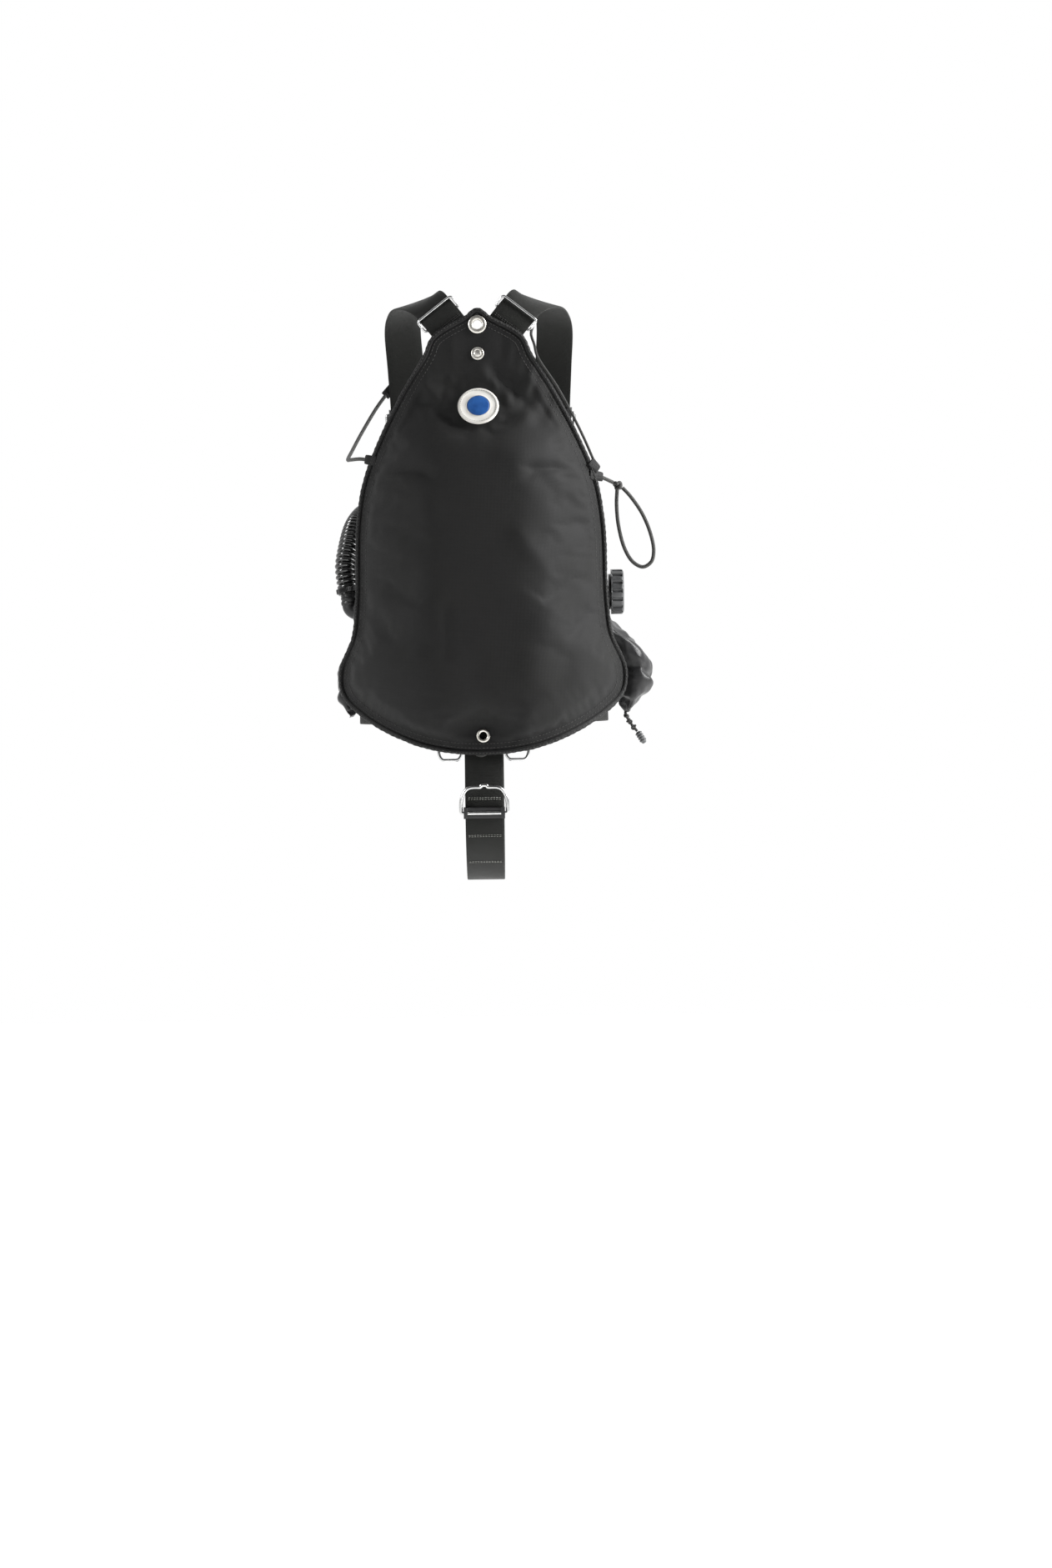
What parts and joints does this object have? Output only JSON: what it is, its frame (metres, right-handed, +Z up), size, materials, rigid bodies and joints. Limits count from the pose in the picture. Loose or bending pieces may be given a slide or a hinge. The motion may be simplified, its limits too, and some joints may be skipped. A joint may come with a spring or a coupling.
{
  "type": "buoyancy compensator vest",
  "caption": "Sidemount buoyancy vest: teardrop back wing with waist lobes on a webbing harness with plates, rings, cam buckle, power inflator and dump valve.",
  "frame": {"origin": "centre of the lumbar plate's wearer-side face, on the belt line", "axes": "+Z up the wearer's spine, +Y the way the wearer faces, +X to the wearer's right; the wing bulges towards -Y"},
  "size_m": [0.4283, 0.3704, 0.78],
  "materials": {
    "shell": "matt black coated nylon, plain weave",
    "webbing": "black polyester webbing, flat weave",
    "steel": "polished stainless steel",
    "rubber": "matt black moulded rubber",
    "plastic": "black moulded nylon, fine satin",
    "cord": "black braided sheath over elastic",
    "badge_white": "off-white moulded rubber",
    "badge_blue": "blue moulded rubber",
    "bladder": "grey coated nylon bladder"
  },
  "bodies": {
    "root": {"wing_outer_panel": "shell", "wing_inner_panel": "shell", "side_lobe_left": "shell", "side_lobe_right": "shell", "edge_binding": "webbing", "shoulder_strap_left": "webbing", "shoulder_strap_right": "webbing", "spine_strap": "webbing", "crotch_strap": "webbing", "crotch_loop": "webbing", "waist_belt_left": "webbing", "waist_belt_right": "webbing", "top_grommet": "steel", "low_grommet": "steel", "lumbar_plate": "steel", "shoulder_plate": "steel", "wing_screw": "steel", "spine_screw": "steel", "crotch_screw": "steel", "strap_ladder_left": "steel", "strap_ladder_right": "steel", "butt_left_eye": "steel", "butt_right_eye": "steel", "valve_spring": "steel", "inflate_spring": "steel", "deflate_spring": "steel", "air_nipple": "steel", "buckle_frame": "steel", "buckle_pin": "steel", "chest_left_keeper": "rubber", "chest_right_keeper": "rubber", "crotch_keeper": "rubber", "corrugated_hose": "rubber", "mouthpiece": "rubber", "valve_body": "plastic", "valve_cap": "plastic", "hose_elbow": "plastic", "hose_clamp_lower": "plastic", "hose_clamp_upper": "plastic", "inflator_body": "plastic", "bungee_tail": "cord", "bungee_loop": "cord", "bungee_knot": "cord", "chest_bungee": "cord", "edge_cord": "cord", "low_bungee": "cord", "badge_base": "badge_white", "badge_disc": "badge_blue", "air_bladder": "bladder"},
    "chest_left_ring": {"chest_left_ring": "steel"},
    "chest_right_ring": {"chest_right_ring": "steel"},
    "crotch_ring": {"crotch_ring": "steel"},
    "butt_left_ring": {"butt_left_ring": "steel"},
    "butt_right_ring": {"butt_right_ring": "steel"},
    "buckle_lever": {"buckle_lever": "steel"},
    "inflate_button": {"inflate_button": "steel"},
    "deflate_button": {"deflate_button": "plastic"},
    "valve_poppet": {"valve_poppet": "rubber"},
    "dump_pull": {"pull_toggle": "plastic", "pull_cord": "cord"}
  },
  "joints": [
    {"name": "chest_left_ring_swing", "type": "hinge", "parent": "root", "child": "chest_left_ring", "pos_m": [-0.09866, 0.22782, 0.40248], "axis": [0.9945, 0.0885, 0.0562], "range_deg": [0, 140]},
    {"name": "chest_right_ring_swing", "type": "hinge", "parent": "root", "child": "chest_right_ring", "pos_m": [0.09866, 0.22782, 0.40248], "axis": [0.9945, -0.0885, -0.0562], "range_deg": [0, 140]},
    {"name": "crotch_ring_swing", "type": "hinge", "parent": "root", "child": "crotch_ring", "pos_m": [0, -0.02623, -0.1462], "axis": [1, 0, 0], "range_deg": [0, 140]},
    {"name": "butt_left_ring_swing", "type": "hinge", "parent": "root", "child": "butt_left_ring", "pos_m": [-0.044, -0.005, -0.0604], "axis": [1, 0, 0], "range_deg": [-10, 60]},
    {"name": "butt_right_ring_swing", "type": "hinge", "parent": "root", "child": "butt_right_ring", "pos_m": [0.044, -0.005, -0.0604], "axis": [1, 0, 0], "range_deg": [-10, 60]},
    {"name": "buckle_lever_turn", "type": "hinge", "parent": "root", "child": "buckle_lever", "pos_m": [-0.058, 0.235, 0], "axis": [0, 0, -1], "range_deg": [0, 110]},
    {"name": "inflate_button_press", "type": "slide", "parent": "root", "child": "inflate_button", "axis": [0.1017, -0.9946, 0.0218], "range_m": [0, 0.003], "stiffness_N_per_m": 900, "springref_m": -0.002, "deforming": ["inflate_spring"]},
    {"name": "deflate_button_press", "type": "slide", "parent": "root", "child": "deflate_button", "axis": [-0.9725, -0.104, -0.2084], "range_m": [0, 0.004], "stiffness_N_per_m": 700, "springref_m": -0.002, "deforming": ["deflate_spring"]},
    {"name": "dump_pull_travel", "type": "slide", "parent": "root", "child": "dump_pull", "axis": [0.2722, 0.1361, -0.9526], "range_m": [0, 0.004], "stiffness_N_per_m": 600, "springref_m": -0.002},
    {"name": "poppet_lift", "type": "slide", "parent": "root", "child": "valve_poppet", "axis": [1, 0, 0], "range_m": [0, 0.004], "deforming": ["valve_spring"]}
  ],
  "couplings": [
    {"joint": "poppet_lift", "follows": "dump_pull_travel", "ratio": 1}
  ]
}
